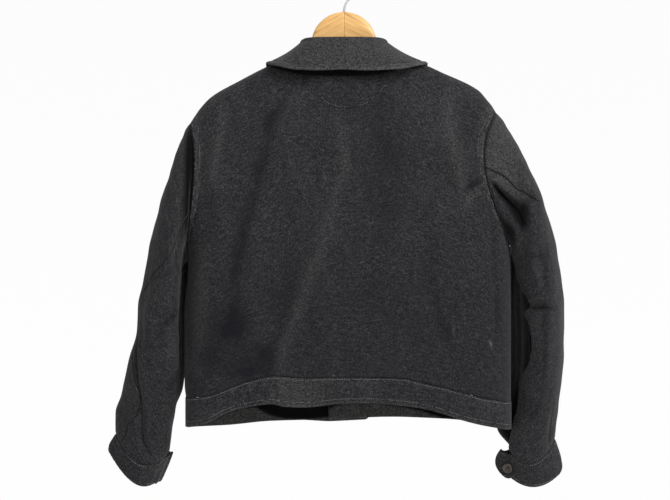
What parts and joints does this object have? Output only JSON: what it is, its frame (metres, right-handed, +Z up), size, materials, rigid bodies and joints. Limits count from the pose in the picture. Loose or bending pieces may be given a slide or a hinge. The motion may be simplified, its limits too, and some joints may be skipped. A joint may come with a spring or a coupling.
{
  "type": "flannel jacket on a hanger",
  "caption": "Short button-front flannel jacket with collar, hem band and buttoned cuffs, hanging on a wide wooden hanger with a wire hook.",
  "frame": {"origin": "inside top of the hanger's hook, where the rail carries it", "axes": "+Z up; the jacket's back faces -Y and its fronts +Y; +X towards the wearer's right sleeve"},
  "size_m": [0.7345, 0.1369, 0.827],
  "materials": {
    "flannel": "brushed matte nap, charcoal",
    "button_horn": "polished dark brown horn",
    "hanger_wood": "satin lacquered pale wood",
    "hook_steel": "bright drawn wire"
  },
  "bodies": {
    "root": {"jacket_back": "flannel", "front_left": "flannel", "front_right": "flannel", "hem_band_back": "flannel", "hem_band_left": "flannel", "hem_band_right": "flannel", "sleeve_left_top": "flannel", "sleeve_left_under": "flannel", "sleeve_right_top": "flannel", "sleeve_right_under": "flannel", "cuff_left": "flannel", "cuff_right": "flannel", "collar": "flannel", "front_button_1": "button_horn", "front_button_2": "button_horn", "front_button_3": "button_horn", "front_button_4": "button_horn", "front_button_5": "button_horn", "cuff_button_left": "button_horn", "cuff_button_right": "button_horn", "hanger_arm_left": "hanger_wood", "hanger_arm_right": "hanger_wood", "hanger_hook": "hook_steel"}
  },
  "joints": []
}
